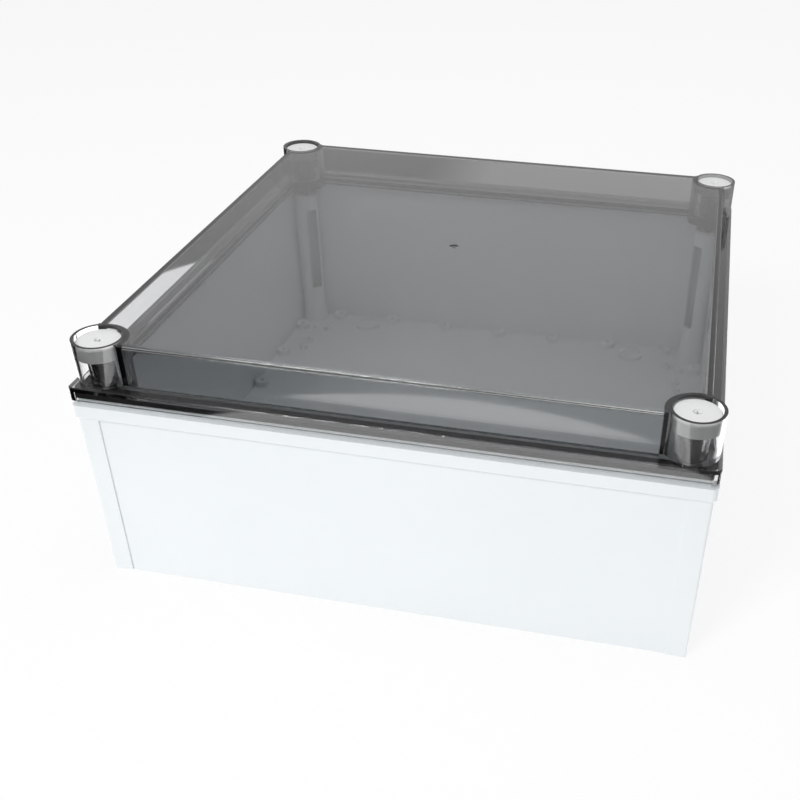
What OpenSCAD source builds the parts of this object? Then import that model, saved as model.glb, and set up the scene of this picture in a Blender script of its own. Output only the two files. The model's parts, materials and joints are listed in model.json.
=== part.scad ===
// Hinged polycarbonate enclosure: an opaque base, a smoked transparent cover on two side hinges,
// and four quarter-turn cover screws that stand in clear corner towers.
// Millimetres. The back face lies on Z = 0, its centre is the origin, and the front wall faces -Y.

/* [Case] */
// Width over the rim of the base and the flange of the cover
case_w = 380; // [310:1:460]
// Depth over the rim of the base and the flange of the cover
case_d = 380; // [310:1:460]
// Height from the back face to the underside of the cover flange
base_h = 132; // [108:1:165]
// Thickness of the base walls
wall = 3.2; // [2.6:0.1:4]
// Thickness of the base floor
floor_t = 3.5; // [2.8:0.1:5]
// Draft of the base walls, from the rim to the back face
draft = 0.8; // [0.2:0.1:1.2]

/* [Rim] */
// Height of the thick rim under the cover
rim_h = 8; // [6:0.5:12]
// Height of the shadow gap between rim and cover flange
joint_gap = 3.6; // [2:0.1:5]
// How far the rim stands out from the corner posts
rim_out = 1.5; // [1:0.1:2.5]
// Corner radius of the posts
post_r = 2; // [1.6:0.1:5]
// Width of the corner posts
post_w = 15; // [10:0.5:24]
// Depth of the wall panels behind the corner posts
panel_recess = 1; // [0.6:0.1:1.6]
// Rise of the sealing tongue above the underside of the flange
tongue_up = 1.2; // [0.8:0.1:1.6]

/* [Cover] */
// Height of the cover flange
flange_h = 8.8; // [8:0.1:12]
// Height of the raised window above the flange
window_rise = 27; // [22:0.5:40]
// Distance from the edge of the flange to the window wall
window_inset = 9.5; // [8.5:0.1:11.5]
// Thickness of the window walls
window_wall = 3; // [2.4:0.1:4]
// Thickness of the window pane
pane_t = 3; // [2.4:0.1:4]
// Radius of the upper edge of the window
window_edge_r = 1.5; // [0.8:0.1:2]

/* [Gasket] */
// Thickness of the foam gasket
gasket_t = 3.5; // [2.5:0.1:4.2]
// Free space between gasket and tongue before the cover is drawn down
gasket_gap = 0.3; // [0.2:0.1:0.6]
// Room in the groove outside the tongue
groove_out = 0.8; // [0.6:0.1:1.2]
// Room in the groove inside the tongue, which the swing of the cover needs
groove_in = 1.7; // [1.5:0.1:2.2]

/* [Corner towers] */
// Distance from the edge of the flange to the outside of a tower
tower_edge = 1.2; // [0.8:0.1:3]
// Outer diameter of a tower
tower_d = 31.4; // [26:0.1:38]
// Thickness of the tower wall
tower_wall = 2; // [1.6:0.1:2.6]
// Thickness of the tower wall inside the window
tower_inner_wall = 4; // [3:0.1:5]
// Height of the tower above the window pane
tower_proud = 0.2; // [0:0.1:1]
// Radius between the towers and the window walls
tower_fillet = 3; // [2:0.1:5]
// Outer diameter of the guide tube inside a tower
guide_d = 18; // [16:0.1:20]

/* [Cover screws] */
// Height of the white cap that makes the screw head
head_h = 8.5; // [6:0.1:11]
// Depth of the head below the rim of its tower
head_sink = 2.2; // [1:0.1:4]
// Gap round the head
head_gap = 0.3; // [0.2:0.05:0.6]
// Diameter of the shank
shank_d = 10; // [8.4:0.1:12]
// Diameter of the tip below the shank
tip_d = 5.5; // [4.8:0.1:6.5]
// Span of the two wings on the tip
wing_span = 11; // [9:0.1:13.2]
// Width of a wing
wing_w = 4.4; // [3.6:0.1:4.8]
// Height of a wing
wing_h = 4; // [3:0.1:5]
// Radial play of the shank in its guide
shank_play = 0.06; // [0.03:0.01:0.1]

/* [Corner columns] */
// Thickness of the wall of the columns that take the screws
column_wall = 2; // [1.6:0.1:2.6]
// Width that the catch in a column keeps beyond the ends of the wings
catch_edge = 2; // [1.6:0.1:3]
// Depth of the column top below the cover flange
column_drop = 9; // [8:0.1:11]
// Width of the open slot in the side of a column
slot_w = 9.5; // [7:0.1:11]
// Height at which the slot begins
slot_low = 37; // [25:1:50]
// Diameter of the wall-fixing hole at the foot of each column
fixing_d = 6.5; // [5:0.1:8]

/* [Floor bosses] */
// Pitch of the bosses along the walls
boss_pitch = 50; // [40:1:60]
// Distance from the edge of the case to the boss axes
boss_inset = 12.5; // [12:0.1:14]
// Diameter of a boss
boss_d = 11; // [9:0.1:12]
// Height of a boss
boss_h = 5; // [3:0.5:8]
// Pilot hole of a boss
boss_hole_d = 3.2; // [2.5:0.1:4]

/* [Hinge] */
// Distance from the middle of the case to each hinge
hinge_y = 110; // [90:1:120]
// Distance of the hinge pin outside the rim
hinge_out = 8; // [7.6:0.1:10]
// Depth of the hinge pin below the cover flange
hinge_drop = 15; // [14.5:0.1:16]
// Diameter of the hinge barrels
barrel_d = 9; // [8:0.1:9.4]
// Length of a complete hinge
hinge_len = 40; // [34:1:50]
// Length of the cover barrel between the two base barrels
eye_len = 15.4; // [12:0.1:20]
// Diameter of the hinge pin
pin_d = 4; // [3:0.1:4.6]
// Radial play of the pin in the cover barrel
pin_play = 0.05; // [0.02:0.01:0.1]
// Thickness of the hinge leaf on the rim
leaf_t = 2.6; // [2:0.1:3]

/* [Hidden] */
$fn = 64;

base_grey = "#E9F1EF";
smoke_grey = [0.28, 0.29, 0.30, 0.45];
seal_black = "#26282A";
nylon_white = "#F4F5F3";
nylon_dark = "#2B2D2F";
steel_grey = "#B8BCBF";
leaf_grey = "#D5DAD9";

eps = 0.01;
over = 1;              // cutters run past the faces they cut by this much
fit_gap = 0.02;        // play between pieces that are fixed together
seat_gap = 0.05;       // play round the pieces that are pressed in or screwed on
turn_gap = 0.3;        // room between pieces that turn past each other

// Base, from the outside in and from the top down
rim_r = post_r + rim_out;
ledge_z = base_h - joint_gap;
rim_low_z = ledge_z - rim_h;
rim_bevel_h = 2;
panel_out = rim_out + panel_recess;
wall_in = panel_out + wall;
tongue_set = 3.2;
tongue_r = 2.6;
cavity_r = 2;

// Groove and gasket in the cover flange
groove_from = tongue_set - groove_out;
groove_to = wall_in + groove_in;
groove_r = tongue_r + groove_out;
groove_depth = tongue_up + gasket_gap + gasket_t;
cover_z = base_h;
flange_top_z = cover_z + flange_h;
pane_top_z = flange_top_z + window_rise;
flange_edge_r = 0.8;
gate_dimple_r = 3.5;   // mark of the moulding gate in the middle of the pane
gate_dimple_depth = 0.6;
gate_nub_r = 0.9;

// Hinge axis, and the reach from it that clears the inner edge of the tongue as the cover swings
hinge_x = -case_w / 2 - hinge_out;
hinge_z = base_h - hinge_drop;
swing_gap = 0.6;
swing_r = swing_gap + sqrt(pow(hinge_out + wall_in, 2) + pow(hinge_drop + tongue_up, 2));

// Towers and screws
tower_inset = tower_d / 2 + tower_edge;
tower_x = case_w / 2 - tower_inset;
tower_y = case_d / 2 - tower_inset;
tower_r = tower_d / 2;
tower_bore_r = tower_r - tower_wall;
tower_top_z = pane_top_z + tower_proud;
groove_roof = 2.2;     // least thickness of the flange over the gasket groove
pocket_floor_z = cover_z + groove_depth + groove_roof;
head_top_z = tower_top_z - head_sink;
head_low_z = head_top_z - head_h;
guide_top_z = head_low_z - turn_gap;
head_edge = 0.6;       // chamfer round the top of a head
recess_r = 2.7;        // round recess in the top of a head
recess_floor_r = 2.2;
recess_depth = 1;
drive_len = 4.2;       // cross slot in the recess
drive_w = 1.2;
drive_depth = 3;
spigot_h = 4.5;        // end of the shank inside the cap, with two flats
spigot_flat = 0.8;     // width over the flats as a share of the shank
shank_r = shank_d / 2;
guide_r = shank_r + shank_play;
shank_reach = tower_inset + hinge_out - shank_r;
shank_low_z = hinge_z + max(9, sqrt(max(0, swing_r * swing_r - shank_reach * shank_reach)));
neck_depth = 1.4;      // depth of the two grooves in the shank
neck_r = shank_r - neck_depth;
clip_t = 1.2;
clip_z = cover_z - clip_t - 0.5;
clip_r = shank_r + 2;
clip_mouth = 0.8;      // opening of the clip as a share of its seat
seal_z = guide_top_z - 6;
seal_groove_w = 1.9;
seal_wire_r = (guide_r - neck_r) / 2 - 0.03;
seal_ring_r = (guide_r + neck_r) / 2;
tip_len = 0.6;         // chamfered end below the wings
tip_taper = 0.8;

// Columns and catches
column_bore = wing_span + 2 * catch_edge;
column_d = column_bore + 2 * column_wall;
column_top_z = base_h - column_drop;
column_foot_h = 12;
column_foot_out = 2;
rib_t = 2.5;           // ribs from the column to the walls
rib_drop = 4;
slot_high_z = column_top_z - 12;
catch_collar_t = 1.5;
catch_plate_t = 6;
catch_low_z = column_top_z - catch_plate_t;
catch_play_x = 1.5;    // room that the tip needs as the cover swings
catch_play_y = 0.5;
catch_r = column_bore / 2 - seat_gap;
catch_stop_w = 2.6;
catch_stop_gap = 0.4;
wing_top_z = catch_low_z - turn_gap;
wing_low_z = wing_top_z - wing_h;
tip_low_z = wing_low_z - tip_len;

// Low bosses near each corner, as distances from the two sides of the case
corner_bosses = [[36, 39], [25, 43], [27, 65], [26, 77]];
corner_boss_d = 7;
corner_boss_h = 4;
corner_boss_hole_d = 2.8;
// Shallow ring on the floor near each corner
ring_at = [69, 23];
ring_d = 22;
ring_wall = 2;
ring_h = 2.5;

// Hinge
barrel_r = barrel_d / 2;
leaf_screw_y = 14;
leaf_screw_z = (ledge_z + rim_low_z) / 2;
leaf_screw_d = 2.5;
leaf_screw_head_d = 4.8;
leaf_screw_head_h = 1.4;
leaf_screw_depth = 4.2;
leaf_screw_slot_w = 0.7;
leaf_bore = 14;        // the screwdriver passes the barrels in a bore of this depth
pin_head_d = 6;
pin_head_t = 1.2;

// ---------- Plan shapes ----------

// Rectangle with true round corners
module rounded_rect(w, d, r) {
    square([w - 2 * r, d], center = true);
    square([w, d - 2 * r], center = true);
    for (sx = [-1, 1], sy = [-1, 1])
        translate([sx * (w / 2 - r), sy * (d / 2 - r)]) circle(r);
}

module rounded_plate(w, d, r, h) {
    linear_extrude(h) rounded_rect(w, d, r);
}

// Plate whose lower face is drawn in by draw on every side
module tapered_block(w, d, r, h, draw) {
    rotate([90, 0, 90])
        translate([0, 0, -w / 2 + r])
            linear_extrude(w - 2 * r)
                polygon([[-d / 2 + draw, 0], [d / 2 - draw, 0], [d / 2, h], [-d / 2, h]]);
    rotate([90, 0, 0])
        translate([0, 0, -d / 2 + r])
            linear_extrude(d - 2 * r)
                polygon([[-w / 2 + draw, 0], [w / 2 - draw, 0], [w / 2, h], [-w / 2, h]]);
    for (sx = [-1, 1], sy = [-1, 1])
        translate([sx * (w / 2 - r), sy * (d / 2 - r), 0])
            cylinder(h = h, r1 = r - draw, r2 = r);
}

// Plate with round corners and a round upper edge
module soft_plate(w, d, r, h, edge) {
    rounded_plate(w, d, r, h - edge);
    rounded_plate(w - 2 * edge, d - 2 * edge, r - edge, h);
    for (sx = [-1, 1], sy = [-1, 1])
        translate([sx * (w / 2 - r), sy * (d / 2 - r), h - edge])
            rotate_extrude() {
                square([r - edge, edge]);
                translate([r - edge, 0]) intersection() {
                    circle(edge);
                    square(edge);
                }
            }
    for (sy = [-1, 1])
        translate([0, sy * (d / 2 - edge), h - edge])
            rotate([0, 90, 0]) cylinder(h = w - 2 * r, r = edge, center = true);
    for (sx = [-1, 1])
        translate([sx * (w / 2 - edge), 0, h - edge])
            rotate([90, 0, 0]) cylinder(h = d - 2 * r, r = edge, center = true);
}

module ring_plate(w, d, r, t, h) {
    difference() {
        rounded_plate(w, d, r, h);
        translate([0, 0, -over])
            rounded_plate(w - 2 * t, d - 2 * t, max(r - t, 0.5), h + 2 * over);
    }
}

// Children repeated at the four corner axes, each turned so that +X and +Y point outwards
module at_corners() {
    for (sx = [-1, 1], sy = [-1, 1])
        at_corner(sx, sy) children();
}

module at_corner(sx, sy) {
    translate([sx * tower_x, sy * tower_y, 0])
        mirror([sx < 0 ? 1 : 0, 0, 0])
            mirror([0, sy < 0 ? 1 : 0, 0])
                children();
}

// Children moved to one corner axis without turning them
module at_axis(sx, sy) {
    translate([sx * tower_x, sy * tower_y, 0]) children();
}

// ---------- Base ----------

module base_walls() {
    inner_w = case_w - 2 * panel_out;
    inner_d = case_d - 2 * panel_out;
    outer_w = case_w - 2 * rim_out;
    outer_d = case_d - 2 * rim_out;
    body_h = rim_low_z + eps;
    tapered_block(inner_w, inner_d, post_r, body_h, draft);
    intersection() {
        tapered_block(outer_w, outer_d, post_r, body_h, draft);
        for (sx = [-1, 1], sy = [-1, 1])
            translate([sx * (case_w / 2 - post_w / 2), sy * (case_d / 2 - post_w / 2), body_h / 2])
                cube([post_w, post_w, body_h + 2 * over], center = true);
    }
    translate([0, 0, rim_low_z - rim_bevel_h])
        tapered_block(case_w, case_d, rim_r, rim_bevel_h, rim_out);
    translate([0, 0, rim_low_z])
        rounded_plate(case_w, case_d, rim_r, rim_h);
    translate([0, 0, ledge_z - eps])
        rounded_plate(case_w - 2 * tongue_set, case_d - 2 * tongue_set, tongue_r, joint_gap + tongue_up);
}

module base_cavity() {
    cavity_h = base_h + tongue_up - floor_t;
    translate([0, 0, floor_t])
        tapered_block(case_w - 2 * wall_in, case_d - 2 * wall_in, cavity_r, cavity_h + over, draft);
}

// Column with a flared foot, two ribs to the walls and an open slot that faces the middle of the case
module corner_column() {
    reach = tower_inset - wall_in + 0.5;
    rib_h = column_top_z - rib_drop;
    difference() {
        union() {
            cylinder(h = column_top_z, d = column_d);
            translate([0, 0, floor_t - eps])
                cylinder(h = column_foot_h, r1 = column_d / 2 + column_foot_out, r2 = column_d / 2);
            translate([0, -rib_t / 2, 0]) cube([reach, rib_t, rib_h]);
            translate([-rib_t / 2, 0, 0]) cube([rib_t, reach, rib_h]);
        }
        translate([0, 0, floor_t]) cylinder(h = column_top_z, d = column_bore);
        rotate(225)
            translate([0, -slot_w / 2, slot_low])
                cube([column_d, slot_w, slot_high_z - slot_low]);
        translate([0, 0, -over]) cylinder(h = floor_t + 2 * over, d = fixing_d);
    }
}

module floor_boss(d, h, hole_d) {
    translate([0, 0, floor_t - eps])
        difference() {
            cylinder(h = h + eps, d = d);
            translate([0, 0, 0.5]) cylinder(h = h + over, d = hole_d);
        }
}

function boss_count(size) = floor((size / 2 - tower_inset - column_d / 2 - boss_d / 2) / boss_pitch);

module floor_bosses() {
    nx = boss_count(case_w);
    ny = boss_count(case_d);
    for (side = [-1, 1], i = [-nx : nx])
        translate([i * boss_pitch, side * (case_d / 2 - boss_inset), 0])
            floor_boss(boss_d, boss_h, boss_hole_d);
    for (side = [-1, 1], i = [-ny : ny])
        translate([side * (case_w / 2 - boss_inset), i * boss_pitch, 0])
            floor_boss(boss_d, boss_h, boss_hole_d);
    for (sx = [-1, 1], sy = [-1, 1]) {
        for (p = corner_bosses)
            translate([sx * (case_w / 2 - p[0]), sy * (case_d / 2 - p[1]), 0])
                floor_boss(corner_boss_d, corner_boss_h, corner_boss_hole_d);
        translate([sx * (case_w / 2 - ring_at[0]), sy * (case_d / 2 - ring_at[1]), 0])
            floor_boss(ring_d, ring_h, ring_d - 2 * ring_wall);
    }
}

module base_shell() {
    color(base_grey)
    difference() {
        union() {
            difference() {
                base_walls();
                base_cavity();
            }
            at_corners() corner_column();
            floor_bosses();
        }
        at_corners() translate([0, 0, -over]) cylinder(h = floor_t + 2 * over, d = fixing_d);
        for (sy = [-1, 1], side = [-1, 1])
            translate([-case_w / 2, sy * hinge_y + side * leaf_screw_y, leaf_screw_z])
                rotate([0, 90, 0])
                    cylinder(h = leaf_screw_depth + turn_gap, d = leaf_screw_d + 2 * fit_gap);
    }
}

// ---------- Cover ----------

// Concave fillet between a tower and the window wall that runs along X from it
module tower_web(h) {
    bite = 0.05;       // the fillet runs a little into both faces
    drop = tower_inset - window_inset;
    centre_y = drop + tower_fillet - bite;
    reach = tower_r + tower_fillet - bite;
    centre_x = sqrt(reach * reach - centre_y * centre_y);
    share = (tower_r - 4 * bite) / reach;
    linear_extrude(h)
        difference() {
            polygon([
                [0, 0], [-centre_x, drop - 1], [-centre_x, centre_y],
                [-centre_x * share, centre_y * share]
            ]);
            translate([-centre_x, centre_y]) circle(tower_fillet);
        }
}

module tower_body() {
    rise = tower_top_z - flange_top_z;
    translate([0, 0, flange_top_z - eps]) {
        cylinder(h = rise + eps, d = tower_d);
        tower_web(window_rise);
        mirror([1, -1, 0]) tower_web(window_rise);
    }
}

module window_cavity() {
    size_in = 2 * (window_inset + window_wall);
    difference() {
        translate([0, 0, cover_z - over])
            soft_plate(case_w - size_in, case_d - size_in, 2.5,
                pane_top_z - pane_t - cover_z + over, window_edge_r);
        at_corners() cylinder(h = 2 * pane_top_z, r = tower_bore_r + tower_inner_wall);
    }
}

module gasket_groove() {
    translate([0, 0, cover_z - over])
        ring_plate(case_w - 2 * groove_from, case_d - 2 * groove_from, groove_r,
            groove_to - groove_from, groove_depth + over);
}

module tower_pocket() {
    translate([0, 0, pocket_floor_z])
        difference() {
            cylinder(h = tower_top_z, r = tower_bore_r);
            translate([0, 0, -over]) cylinder(h = guide_top_z - pocket_floor_z + over, d = guide_d);
        }
    translate([0, 0, cover_z - over]) cylinder(h = tower_top_z, r = guide_r);
}

// Outline of a cover hinge eye in the X-Z plane, measured from the hinge pin
module eye_outline() {
    circle(barrel_r);
    polygon([
        [hinge_out + 1, hinge_drop + 0.6],
        [hinge_out + 1, hinge_drop + 6.2],
        [hinge_out - leaf_t, hinge_drop + 4.6],
        [-barrel_r * 0.6, hinge_drop - 2.5],
        [-barrel_r, 0],
        [hinge_out - leaf_t - 0.5, 0],
        [hinge_out - leaf_t - 0.5, hinge_drop - 1.4]
    ]);
}

module hinge_sections(length) {
    translate([hinge_x, 0, hinge_z])
        rotate([90, 0, 0])
            linear_extrude(length, center = true) children();
}

module cover_eye() {
    difference() {
        hinge_sections(eye_len) eye_outline();
        hinge_sections(eye_len + 2 * over) circle(pin_d / 2 + pin_play);
    }
}

// Shallow round hollow that the moulding gate leaves in the pane
module gate_dimple() {
    ball_r = (pow(gate_dimple_r, 2) + pow(gate_dimple_depth, 2)) / (2 * gate_dimple_depth);
    translate([0, 0, pane_top_z + ball_r - gate_dimple_depth]) sphere(r = ball_r);
}

module cover_shell() {
    color(smoke_grey) {
        difference() {
            union() {
                translate([0, 0, cover_z])
                    soft_plate(case_w, case_d, rim_r, flange_h, flange_edge_r);
                translate([0, 0, flange_top_z - over])
                    soft_plate(case_w - 2 * window_inset, case_d - 2 * window_inset, 3,
                        window_rise + over, window_edge_r);
                at_corners() tower_body();
            }
            window_cavity();
            gasket_groove();
            gate_dimple();
            at_corners() tower_pocket();
        }
        translate([0, 0, pane_top_z - pane_t / 2]) cylinder(h = pane_t / 2 - eps, r = gate_nub_r);
        for (sy = [-1, 1])
            translate([0, sy * hinge_y, 0]) cover_eye();
    }
}

module cover_gasket() {
    color(seal_black)
    translate([0, 0, cover_z + groove_depth - gasket_t])
        ring_plate(case_w - 2 * groove_from - 2 * fit_gap, case_d - 2 * groove_from - 2 * fit_gap,
            groove_r - fit_gap, groove_to - groove_from - 2 * fit_gap, gasket_t - fit_gap);
}

// ---------- Cover screws ----------

module wing_bar() {
    intersection() {
        translate([-wing_w / 2, -wing_span / 2, 0]) cube([wing_w, wing_span, wing_h]);
        cylinder(h = wing_h, d = wing_span);
    }
}

// Square-cut round bar with two flats, which keys the cap to the shank
module spigot(gap, h) {
    intersection() {
        cylinder(h = h, r = shank_r + gap);
        translate([-shank_d, -shank_r * spigot_flat - gap, 0])
            cube([2 * shank_d, shank_d * spigot_flat + 2 * gap, h]);
    }
}

// Quarter-turn screw: spigot for the cap, shank with two grooves, and a winged tip
module cover_screw(sx, sy) {
    color(nylon_dark)
    at_axis(sx, sy)
    difference() {
        union() {
            translate([0, 0, head_low_z - eps]) spigot(0, spigot_h - seat_gap);
            translate([0, 0, shank_low_z]) cylinder(h = head_low_z - shank_low_z, r = shank_r);
            translate([0, 0, wing_low_z]) cylinder(h = shank_low_z - wing_low_z + eps, d = tip_d);
            translate([0, 0, tip_low_z])
                cylinder(h = wing_low_z - tip_low_z, d1 = tip_d - 2 * tip_taper, d2 = tip_d);
            translate([0, 0, wing_low_z]) wing_bar();
        }
        translate([0, 0, seal_z - seal_groove_w / 2]) neck(seal_groove_w);
        translate([0, 0, clip_z - fit_gap]) neck(clip_t + 2 * fit_gap);
    }
}

// White cap with a round recess and a cross slot
module screw_cap(sx, sy) {
    head_r = tower_bore_r - head_gap;
    color(nylon_white)
    at_axis(sx, sy)
    difference() {
        union() {
            translate([0, 0, head_low_z]) cylinder(h = head_h - head_edge, r = head_r);
            translate([0, 0, head_top_z - head_edge])
                cylinder(h = head_edge, r1 = head_r, r2 = head_r - head_edge);
        }
        translate([0, 0, head_low_z - over]) spigot(fit_gap, spigot_h + over);
        translate([0, 0, head_top_z - recess_depth])
            cylinder(h = 2 * recess_depth, r1 = recess_floor_r, r2 = 2 * recess_r - recess_floor_r);
        for (turn = [0, 90])
            rotate(turn)
                translate([-drive_w / 2, -drive_len / 2, head_top_z - drive_depth])
                    cube([drive_w, drive_len, drive_depth]);
    }
}

// Cutter for a groove round the shank
module neck(width) {
    difference() {
        cylinder(h = width, r = shank_r + over);
        translate([0, 0, -over]) cylinder(h = width + 2 * over, r = neck_r);
    }
}

module seal_ring(sx, sy) {
    color(seal_black)
    at_axis(sx, sy)
    translate([0, 0, seal_z])
        rotate_extrude()
            translate([seal_ring_r, 0]) circle(seal_wire_r);
}

module retaining_clip(sx, sy) {
    mouth = 2 * neck_r * clip_mouth;
    color(nylon_white)
    at_axis(sx, sy)
    translate([0, 0, clip_z])
        difference() {
            cylinder(h = clip_t, r = clip_r);
            translate([0, 0, -over]) cylinder(h = clip_t + 2 * over, r = neck_r + fit_gap);
            translate([0, -mouth / 2, -over])
                cube([clip_r + over, mouth, clip_t + 2 * over]);
        }
}

// Slotted insert in the top of a column, with two stops that end the quarter turn
module screw_catch(sx, sy) {
    slot_x = tip_d + 2 * catch_play_x;
    slot_y = wing_span + 2 * catch_play_y;
    stop_h = wing_h;
    stop_y = wing_w / 2 + catch_stop_gap + catch_stop_w;
    color(nylon_white)
    at_axis(sx, sy) {
        difference() {
            union() {
                translate([0, 0, column_top_z + seat_gap]) cylinder(h = catch_collar_t, d = column_d - 1);
                translate([0, 0, catch_low_z]) cylinder(h = catch_plate_t + seat_gap + eps, r = catch_r);
            }
            translate([-slot_x / 2, -slot_y / 2, catch_low_z - over])
                cube([slot_x, slot_y, catch_plate_t + catch_collar_t + 3 * over]);
        }
        for (turn = [0, 180])
            rotate(turn)
                translate([0, 0, catch_low_z - stop_h])
                    intersection() {
                        cylinder(h = stop_h + eps, r = catch_r);
                        translate([slot_x / 2 + turn_gap, -stop_y, 0])
                            cube([catch_r, catch_stop_w, stop_h + eps]);
                    }
    }
}

// ---------- Hinges on the left side ----------

// Outline of the base barrels and their arms, measured from the hinge pin
module leaf_arm_outline() {
    circle(barrel_r);
    polygon([
        [hinge_out - eps, rim_low_z - hinge_z],
        [hinge_out - eps, ledge_z - hinge_z - 1.5],
        [hinge_out - leaf_t, ledge_z - hinge_z - 2.5],
        [-barrel_r * 0.5, barrel_r * 0.87],
        [-barrel_r, 0],
        [0, -barrel_r]
    ]);
}

module leaf_plate_outline() {
    translate([hinge_out - leaf_t, rim_low_z - hinge_z]) square([leaf_t - fit_gap, rim_h]);
}

module leaf_screw_axis(side) {
    translate([-case_w / 2, side * leaf_screw_y, leaf_screw_z]) rotate([0, 90, 0]) children();
}

// sy is -1 for the front hinge and 1 for the rear one
module hinge_leaf(sy) {
    side_len = (hinge_len - eye_len) / 2 - turn_gap;
    color(leaf_grey)
    translate([0, sy * hinge_y, 0])
    difference() {
        union() {
            hinge_sections(hinge_len) leaf_plate_outline();
            for (side = [-1, 1])
                translate([0, side * (hinge_len - side_len) / 2, 0])
                    hinge_sections(side_len) leaf_arm_outline();
        }
        hinge_sections(hinge_len + 2 * over) circle(pin_d / 2 + fit_gap);
        for (side = [-1, 1])
            leaf_screw_axis(side) {
                translate([0, 0, -leaf_t - leaf_bore])
                    cylinder(h = leaf_bore + eps, d = leaf_screw_head_d + 0.4);
                translate([0, 0, -leaf_t - over])
                    cylinder(h = leaf_t + 2 * over, d = leaf_screw_d + 2 * fit_gap);
                translate([0, 0, -leaf_t])
                    cylinder(h = leaf_screw_head_h, d1 = leaf_screw_head_d, d2 = leaf_screw_d + 2 * fit_gap);
            }
    }
}

module hinge_pin(sy) {
    color(steel_grey)
    translate([hinge_x, sy * hinge_y, hinge_z])
        rotate([90, 0, 0]) {
            cylinder(h = hinge_len + 1, d = pin_d, center = true);
            translate([0, 0, hinge_len / 2 + seat_gap]) cylinder(h = pin_head_t, d = pin_head_d);
        }
}

module hinge_screws(sy) {
    head_d = leaf_screw_head_d - 0.2;
    color(steel_grey)
    translate([0, sy * hinge_y, 0])
    for (side = [-1, 1])
        leaf_screw_axis(side)
            difference() {
                translate([0, 0, seat_gap - leaf_t]) {
                    cylinder(h = leaf_screw_head_h - 2 * seat_gap, d1 = head_d, d2 = leaf_screw_d - 0.1);
                    cylinder(h = leaf_t + leaf_screw_depth - 2 * seat_gap, d = leaf_screw_d);
                }
                translate([-leaf_screw_head_d, -leaf_screw_slot_w / 2, -leaf_t - over])
                    cube([2 * leaf_screw_head_d, leaf_screw_slot_w, over + leaf_screw_slot_w]);
            }
}

base_shell();
cover_shell();
cover_gasket();
cover_screw(-1, -1);  // front_left_screw
cover_screw(1, -1);  // front_right_screw
cover_screw(-1, 1);  // rear_left_screw
cover_screw(1, 1);  // rear_right_screw
screw_cap(-1, -1);  // front_left_screw_cap
screw_cap(1, -1);  // front_right_screw_cap
screw_cap(-1, 1);  // rear_left_screw_cap
screw_cap(1, 1);  // rear_right_screw_cap
seal_ring(-1, -1);  // front_left_seal_ring
seal_ring(1, -1);  // front_right_seal_ring
seal_ring(-1, 1);  // rear_left_seal_ring
seal_ring(1, 1);  // rear_right_seal_ring
retaining_clip(-1, -1);  // front_left_retaining_clip
retaining_clip(1, -1);  // front_right_retaining_clip
retaining_clip(-1, 1);  // rear_left_retaining_clip
retaining_clip(1, 1);  // rear_right_retaining_clip
screw_catch(-1, -1);  // front_left_catch
screw_catch(1, -1);  // front_right_catch
screw_catch(-1, 1);  // rear_left_catch
screw_catch(1, 1);  // rear_right_catch
hinge_leaf(-1);  // front_hinge_leaf
hinge_leaf(1);  // rear_hinge_leaf
hinge_pin(-1);  // front_hinge_pin
hinge_pin(1);  // rear_hinge_pin
hinge_screws(-1);  // front_hinge_screws
hinge_screws(1);  // rear_hinge_screws
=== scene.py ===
"""Looks of a hinged polycarbonate enclosure: a pale opaque base, a smoke-tinted clear cover with four
corner towers, and white-capped quarter-turn screws. Metres, in the frame of the CAD model."""

import json
import math

import bpy
from mathutils import Matrix, Vector


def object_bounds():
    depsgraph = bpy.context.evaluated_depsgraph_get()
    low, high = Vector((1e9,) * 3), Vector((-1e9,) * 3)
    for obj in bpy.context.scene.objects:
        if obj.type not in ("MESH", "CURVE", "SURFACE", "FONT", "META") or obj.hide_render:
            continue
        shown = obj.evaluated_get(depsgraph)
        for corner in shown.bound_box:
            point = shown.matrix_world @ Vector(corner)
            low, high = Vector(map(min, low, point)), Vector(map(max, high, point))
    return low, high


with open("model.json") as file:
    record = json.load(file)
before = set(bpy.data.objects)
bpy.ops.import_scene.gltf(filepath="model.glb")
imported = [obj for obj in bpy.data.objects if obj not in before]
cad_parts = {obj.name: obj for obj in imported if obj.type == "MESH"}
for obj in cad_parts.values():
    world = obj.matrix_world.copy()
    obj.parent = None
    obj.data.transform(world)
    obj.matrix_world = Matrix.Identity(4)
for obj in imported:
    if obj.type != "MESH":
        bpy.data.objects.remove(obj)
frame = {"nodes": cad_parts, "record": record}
cad_low, cad_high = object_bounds()

MM = 0.001

# Index of refraction of the plastics and the rubber
IOR_POLYCARBONATE = 1.585
IOR_POLYAMIDE = 1.53
IOR_RUBBER = 1.52
IOR_FOAM = 1.5

SMOKE_DENSITY = 122.0  # per metre: a 3 mm wall lets through two thirds of the light
SMOKE_TINT = (0.0, 0.01, 0.02, 1.0)

FLOOR_SIZE = 12.0
FLOOR_GAP = 0.2 * MM  # the floor lies this far under the back face
SWEEP_WHITE = 0.82  # share of plain white in the floor, the rest takes light and shadow
DISC_RADIUS = 0.43  # radius of a disc painted into the floor for gloss only: a painted reflection that the cover's front wall mirrors
DISC_EDGE = 2 * MM
PAINTED_DISC_GLOW = 2.1  # painted reflection: for gloss the disc glows at 2.1 times white, though it is no lamp
PAINTED_SHADE_X = (-0.17, -0.09)  # painted shade in the reflection: round the disc, gloss sees the floor go from dark to dim along x between these, at the levels below
PAINTED_SHADE_LEVEL = (0.03, 0.4)
FILL = 0.66  # even light of the room

CAMERA_PLACE = (0.15287, -0.65397, 0.46379)
YAW = -0.2025581
PITCH = 0.6018717
ROLL = 0.0134594
LENS_MM = 47.007
SENSOR_MM = 36.0
SHIFT = (-0.09695, 0.05515)

# ---------------------------------------------------------------- node helpers


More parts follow.
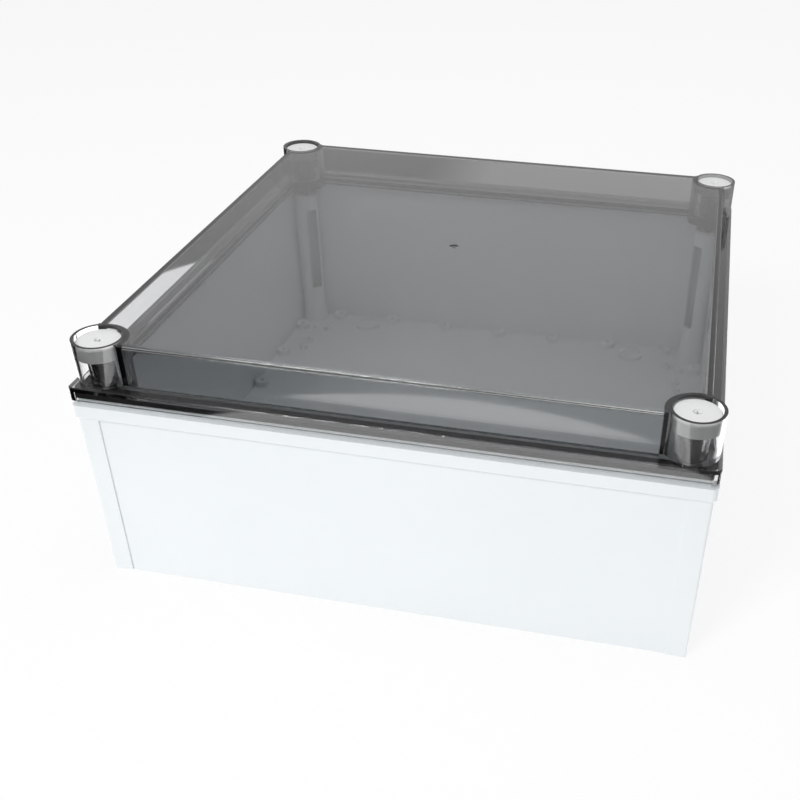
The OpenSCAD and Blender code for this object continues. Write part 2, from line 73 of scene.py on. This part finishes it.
def linear(code):
    """An sRGB hex colour as linear RGBA."""
    parts = [int(code[i : i + 2], 16) / 255 for i in (1, 3, 5)]
    return tuple(p / 12.92 if p <= 0.04045 else ((p + 0.055) / 1.055) ** 2.4 for p in parts) + (1.0,)


def add(tree, kind, links=None, **settings):
    """One shader node. A setting names a property of the node or, with _ for each space, a socket.
    links maps a socket's name or number to the output that feeds it."""
    node = tree.nodes.new(kind)
    for name, value in settings.items():
        if name in node.bl_rna.properties:
            setattr(node, name, value)
        else:
            node.inputs[name.replace("_", " ")].default_value = value
    for name, source in (links or {}).items():
        tree.links.new(source, node.inputs[name])
    return node


def start_material(name):
    """An empty node material, its tree and its place in object space."""
    made = bpy.data.materials.new(name)
    made.use_nodes = True
    tree = made.node_tree
    tree.nodes.clear()
    return made, tree, add(tree, "ShaderNodeTexCoord").outputs["Object"]


# ---------------------------------------------------------------- materials


def moulded_plastic(name, tones, mottle_mm, detail, roughness, sheen_mm, grain_mm, bump, relief_mm, ior):
    """Moulded thermoplastic: a faint mottle between two tones, a sheen that varies a little and the
    fine grain that an eroded tool leaves."""
    made, tree, place = start_material(name)
    cloud = add(tree, "ShaderNodeTexNoise", {"Vector": place}, Scale=1 / (mottle_mm * MM), Detail=detail)
    tone = add(tree, "ShaderNodeMix", {"Factor": cloud.outputs["Fac"]}, data_type="RGBA")
    for socket, code in zip([s for s in tone.inputs if s.type == "RGBA"], tones):
        socket.default_value = linear(code)
    sheen = add(tree, "ShaderNodeTexNoise", {"Vector": place}, Scale=1 / (sheen_mm * MM), Detail=2.0)
    rough = add(
        tree,
        "ShaderNodeMapRange",
        {"Value": sheen.outputs["Fac"]},
        From_Min=0.3,
        From_Max=0.7,
        To_Min=roughness - 0.04,
        To_Max=roughness + 0.04,
    )
    grain = add(tree, "ShaderNodeTexNoise", {"Vector": place}, Scale=1 / (grain_mm * MM), Detail=2.0)
    skin = add(
        tree, "ShaderNodeBump", {"Height": grain.outputs["Fac"]}, Strength=bump, Distance=relief_mm * MM
    )
    shader = add(
        tree,
        "ShaderNodeBsdfPrincipled",
        {
            "Base Color": [s for s in tone.outputs if s.type == "RGBA"][0],
            "Roughness": rough.outputs["Result"],
            "Normal": skin.outputs["Normal"],
        },
        IOR=ior,
    )
    add(tree, "ShaderNodeOutputMaterial", {"Surface": shader.outputs["BSDF"]})
    return made


def base_polycarbonate():
    """Opaque light grey polycarbonate, injection moulded against a finely eroded tool: a soft sheen."""
    tones = ("#E7EBED", "#EBEFF1")
    return moulded_plastic(
        "opaque_polycarbonate_moulded", tones, 60.0, 3.0, 0.38, 9.0, 0.7, 0.12, 0.04, IOR_POLYCARBONATE
    )


def polyamide(name, tones, mottle_mm, roughness, bump):
    """Moulded polyamide: slightly waxy, with a faint mottle."""
    return moulded_plastic(name, tones, mottle_mm, 2.0, roughness, 4.0, 0.5, bump, 0.05, IOR_POLYAMIDE)


def smoked_polycarbonate():
    """Transparent polycarbonate tinted smoke grey, moulded in a polished tool. The tint is in the
    depth of the material, so a 3 mm wall is pale and an edge or the thick flange is nearly black."""
    made, tree, _ = start_material("smoked_polycarbonate_polished")
    shader = add(
        tree,
        "ShaderNodeBsdfPrincipled",
        IOR=IOR_POLYCARBONATE,
        Roughness=0.02,
        Base_Color=(1, 1, 1, 1),
        Transmission_Weight=1.0,
    )
    tint = add(tree, "ShaderNodeVolumeAbsorption", Density=SMOKE_DENSITY, Color=SMOKE_TINT)
    surface, volume = shader.outputs["BSDF"], tint.outputs["Volume"]
    add(tree, "ShaderNodeOutputMaterial", {"Surface": surface, "Volume": volume})
    return made


def gasket_foam():
    """Foamed-in-place black polyurethane: matt, with open pores 0.8 mm across. Its colour is darker at the
    bottom of each pore: painted shade.
    """
    made, tree, place = start_material("foamed_polyurethane")
    pores = add(tree, "ShaderNodeTexVoronoi", {"Vector": place}, Scale=1 / (0.8 * MM))
    depth = pores.outputs["Distance"]
    skin = add(tree, "ShaderNodeBump", {"Height": depth}, Strength=0.6, Distance=0.2 * MM)
    # painted shade: the colour darkens towards the bottom of each pore, following the bump's height
    tone = add(tree, "ShaderNodeMapRange", {"Value": depth}, From_Max=0.6, To_Min=0.012, To_Max=0.03)
    shader = add(
        tree,
        "ShaderNodeBsdfPrincipled",
        {"Base Color": tone.outputs["Result"], "Normal": skin.outputs["Normal"]},
        Roughness=0.85,
        IOR=IOR_FOAM,
    )
    add(tree, "ShaderNodeOutputMaterial", {"Surface": shader.outputs["BSDF"]})
    return made


def seal_rubber():
    """Moulded nitrile rubber: black with a dull, uneven sheen."""
    made, tree, place = start_material("nitrile_rubber_moulded")
    grain = add(tree, "ShaderNodeTexNoise", {"Vector": place}, Scale=1 / (0.4 * MM), Detail=2.0)
    skin = add(tree, "ShaderNodeBump", {"Height": grain.outputs["Fac"]}, Strength=0.2, Distance=0.03 * MM)
    sheen = add(tree, "ShaderNodeTexNoise", {"Vector": place}, Scale=1 / (2.0 * MM), Detail=2.0)
    rough = add(
        tree,
        "ShaderNodeMapRange",
        {"Value": sheen.outputs["Fac"]},
        From_Min=0.3,
        From_Max=0.7,
        To_Min=0.45,
        To_Max=0.6,
    )
    shader = add(
        tree,
        "ShaderNodeBsdfPrincipled",
        {"Normal": skin.outputs["Normal"], "Roughness": rough.outputs["Result"]},
        Base_Color=linear("#1C1D1E"),
        IOR=IOR_RUBBER,
    )
    add(tree, "ShaderNodeOutputMaterial", {"Surface": shader.outputs["BSDF"]})
    return made


def drawn_steel():
    """Stainless steel wire, drawn through a die: bright, with fine lines along the pin."""
    made, tree, place = start_material("stainless_steel_drawn")
    stretched = add(tree, "ShaderNodeMapping", {"Vector": place}, Scale=(1.0, 0.05, 1.0))
    lines = add(
        tree, "ShaderNodeTexNoise", {"Vector": stretched.outputs["Vector"]}, Scale=1 / (0.3 * MM)
    )
    rough = add(
        tree,
        "ShaderNodeMapRange",
        {"Value": lines.outputs["Fac"]},
        From_Min=0.3,
        From_Max=0.7,
        To_Min=0.24,
        To_Max=0.36,
    )
    shader = add(
        tree,
        "ShaderNodeBsdfPrincipled",
        {"Roughness": rough.outputs["Result"]},
        Base_Color=linear("#C9CBCC"),
        Metallic=1.0,
    )
    add(tree, "ShaderNodeOutputMaterial", {"Surface": shader.outputs["BSDF"]})
    return made


def finish_nodes():
    """Each CAD node gets the finish of its material slot."""
    finishes = {
        "base_polycarbonate": base_polycarbonate(),
        "smoked_polycarbonate": smoked_polycarbonate(),
        "white_nylon": polyamide("white_polyamide_moulded", ("#DDDFDE", "#E3E5E4"), 5.0, 0.36, 0.1),
        "black_nylon": polyamide(
            "glass_filled_polyamide_moulded", ("#1D1F21", "#2B2D30"), 1.2, 0.5, 0.3
        ),
        "hinge_plastic": polyamide("grey_polyamide_moulded", ("#D5DAD9", "#DDE1E0"), 6.0, 0.42, 0.2),
        "foam_gasket": gasket_foam(),
        "seal_rubber": seal_rubber(),
        "stainless_steel": drawn_steel(),
    }
    slot_of = {part["node"]: part["material_slot"] for part in frame["record"]["subparts"]}
    for name, node in frame["nodes"].items():
        node.data.materials.clear()
        node.data.materials.append(finishes[slot_of[name]])


# ---------------------------------------------------------------- studio


def floor_material():
    """Pale matt floor. Seen directly it is a white sweep with the object's shadow. Gloss, and what looks
    through the clear cover, meets a painted reflection instead: a disc glowing brighter than white and,
    round it, painted shade that goes from dark to dim along x."""
    made, tree, place = start_material("pale_matt_floor")
    path = add(tree, "ShaderNodeLightPath")
    direct = add(
        tree,
        "ShaderNodeMath",
        {0: path.outputs["Is Camera Ray"], 1: path.outputs["Is Transmission Ray"]},
        operation="MAXIMUM",
    )
    matt = add(tree, "ShaderNodeBsdfDiffuse", Color=linear("#F4F5F5"))
    white = add(tree, "ShaderNodeEmission", Strength=1.0)
    sweep = add(
        tree, "ShaderNodeMixShader", {1: matt.outputs["BSDF"], 2: white.outputs["Emission"]}, Fac=SWEEP_WHITE
    )
    split = add(tree, "ShaderNodeSeparateXYZ", {"Vector": place})
    far = add(tree, "ShaderNodeVectorMath", {0: place}, operation="LENGTH")
    # painted shade: round the disc, gloss sees the floor dark on the left and dim further right
    room = add(
        tree,
        "ShaderNodeMapRange",
        {"Value": split.outputs["X"]},
        From_Min=PAINTED_SHADE_X[0],
        From_Max=PAINTED_SHADE_X[1],
        To_Min=PAINTED_SHADE_LEVEL[0],
        To_Max=PAINTED_SHADE_LEVEL[1],
    )
    # painted reflection: inside this radius the floor glows for gloss rays only
    on_painted_disc = add(
        tree,
        "ShaderNodeMapRange",
        {"Value": far.outputs["Value"]},
        From_Min=DISC_RADIUS - DISC_EDGE,
        From_Max=DISC_RADIUS + DISC_EDGE,
        To_Min=1.0,
        To_Max=0.0,
    )
    # level of the painted reflection: the glowing disc, with the painted shade round it
    level = add(
        tree,
        "ShaderNodeMix",
        {"Factor": on_painted_disc.outputs["Result"], "A": room.outputs["Result"]},
        data_type="FLOAT",
        B=PAINTED_DISC_GLOW,
    )
    # painted reflection: the floor glows at this level for gloss rays only
    painted_reflection = add(tree, "ShaderNodeEmission", {"Strength": level.outputs["Result"]})
    seen = add(
        tree,
        "ShaderNodeMixShader",
        {0: direct.outputs["Value"], 1: matt.outputs["BSDF"], 2: sweep.outputs["Shader"]},
    )
    both = add(
        tree,
        "ShaderNodeMixShader",
        {0: path.outputs["Is Glossy Ray"], 1: seen.outputs["Shader"], 2: painted_reflection.outputs["Emission"]},
    )
    add(tree, "ShaderNodeOutputMaterial", {"Surface": both.outputs["Shader"]})
    return made


def studio_floor():
    h = FLOOR_SIZE / 2
    mesh = bpy.data.meshes.new("floor")
    mesh.from_pydata([(-h, -h, 0), (h, -h, 0), (h, h, 0), (-h, h, 0)], [], [(0, 1, 2, 3)])
    mesh.materials.append(floor_material())
    floor = bpy.data.objects.new("floor", mesh)
    floor.location.z = cad_low.z - FLOOR_GAP
    bpy.context.scene.collection.objects.link(floor)


def studio_world():
    """Pale room: its full level wherever it is seen, and a plain even fill where it lights."""
    world = bpy.data.worlds.new("pale_room")
    world.use_nodes = True
    tree = world.node_tree
    tree.nodes.clear()
    path = add(tree, "ShaderNodeLightPath")
    straight = add(
        tree,
        "ShaderNodeMath",
        {0: path.outputs["Is Camera Ray"], 1: path.outputs["Is Transmission Ray"]},
        operation="MAXIMUM",
    )
    seen = add(
        tree,
        "ShaderNodeMath",
        {0: straight.outputs["Value"], 1: path.outputs["Is Glossy Ray"]},
        operation="MAXIMUM",
    )
    strength = add(tree, "ShaderNodeMapRange", {"Value": seen.outputs["Value"]}, To_Min=FILL, To_Max=1.0)
    back = add(tree, "ShaderNodeBackground", {"Strength": strength.outputs["Result"]})
    add(tree, "ShaderNodeOutputWorld", {"Surface": back.outputs["Background"]})
    bpy.context.scene.world = world


def soft_box(name, place, size, power):
    """Rectangular lamp aimed at the middle of the case, not seen by the camera."""
    lamp = bpy.data.lights.new(name, "AREA")
    lamp.shape = "RECTANGLE"
    lamp.size, lamp.size_y = size
    lamp.energy = power
    box = bpy.data.objects.new(name, lamp)
    bpy.context.scene.collection.objects.link(box)
    box.location = place
    box.rotation_mode = "QUATERNION"
    box.rotation_quaternion = (Vector((0, 0, 0.1)) - Vector(place)).to_track_quat("-Z", "Y")
    box.visible_camera = False


def place_camera():
    data = bpy.data.cameras.new("camera")
    data.sensor_width = SENSOR_MM
    data.lens = LENS_MM
    data.shift_x, data.shift_y = SHIFT
    data.clip_start, data.clip_end = 0.01, 50.0
    camera = bpy.data.objects.new("camera", data)
    bpy.context.scene.collection.objects.link(camera)
    ahead = Vector(
        (math.sin(YAW) * math.cos(PITCH), math.cos(YAW) * math.cos(PITCH), -math.sin(PITCH))
    )
    right = Vector((math.cos(YAW), -math.sin(YAW), 0.0))
    up = right.cross(ahead)
    level = math.cos(ROLL) * right + math.sin(ROLL) * up
    rise = -math.sin(ROLL) * right + math.cos(ROLL) * up
    turned = Matrix((level, rise, -ahead)).transposed().to_4x4()
    camera.matrix_world = Matrix.Translation(CAMERA_PLACE) @ turned
    bpy.context.scene.camera = camera


finish_nodes()
studio_floor()
studio_world()
soft_box("key_soft_box", (-0.62, -1.45, 1.5), (0.55, 0.6), 19.0)
soft_box("top_soft_box", (0.3, 0.4, 2.0), (1.6, 1.6), 9.0)
place_camera()
bpy.context.scene.view_settings.view_transform = "Standard"
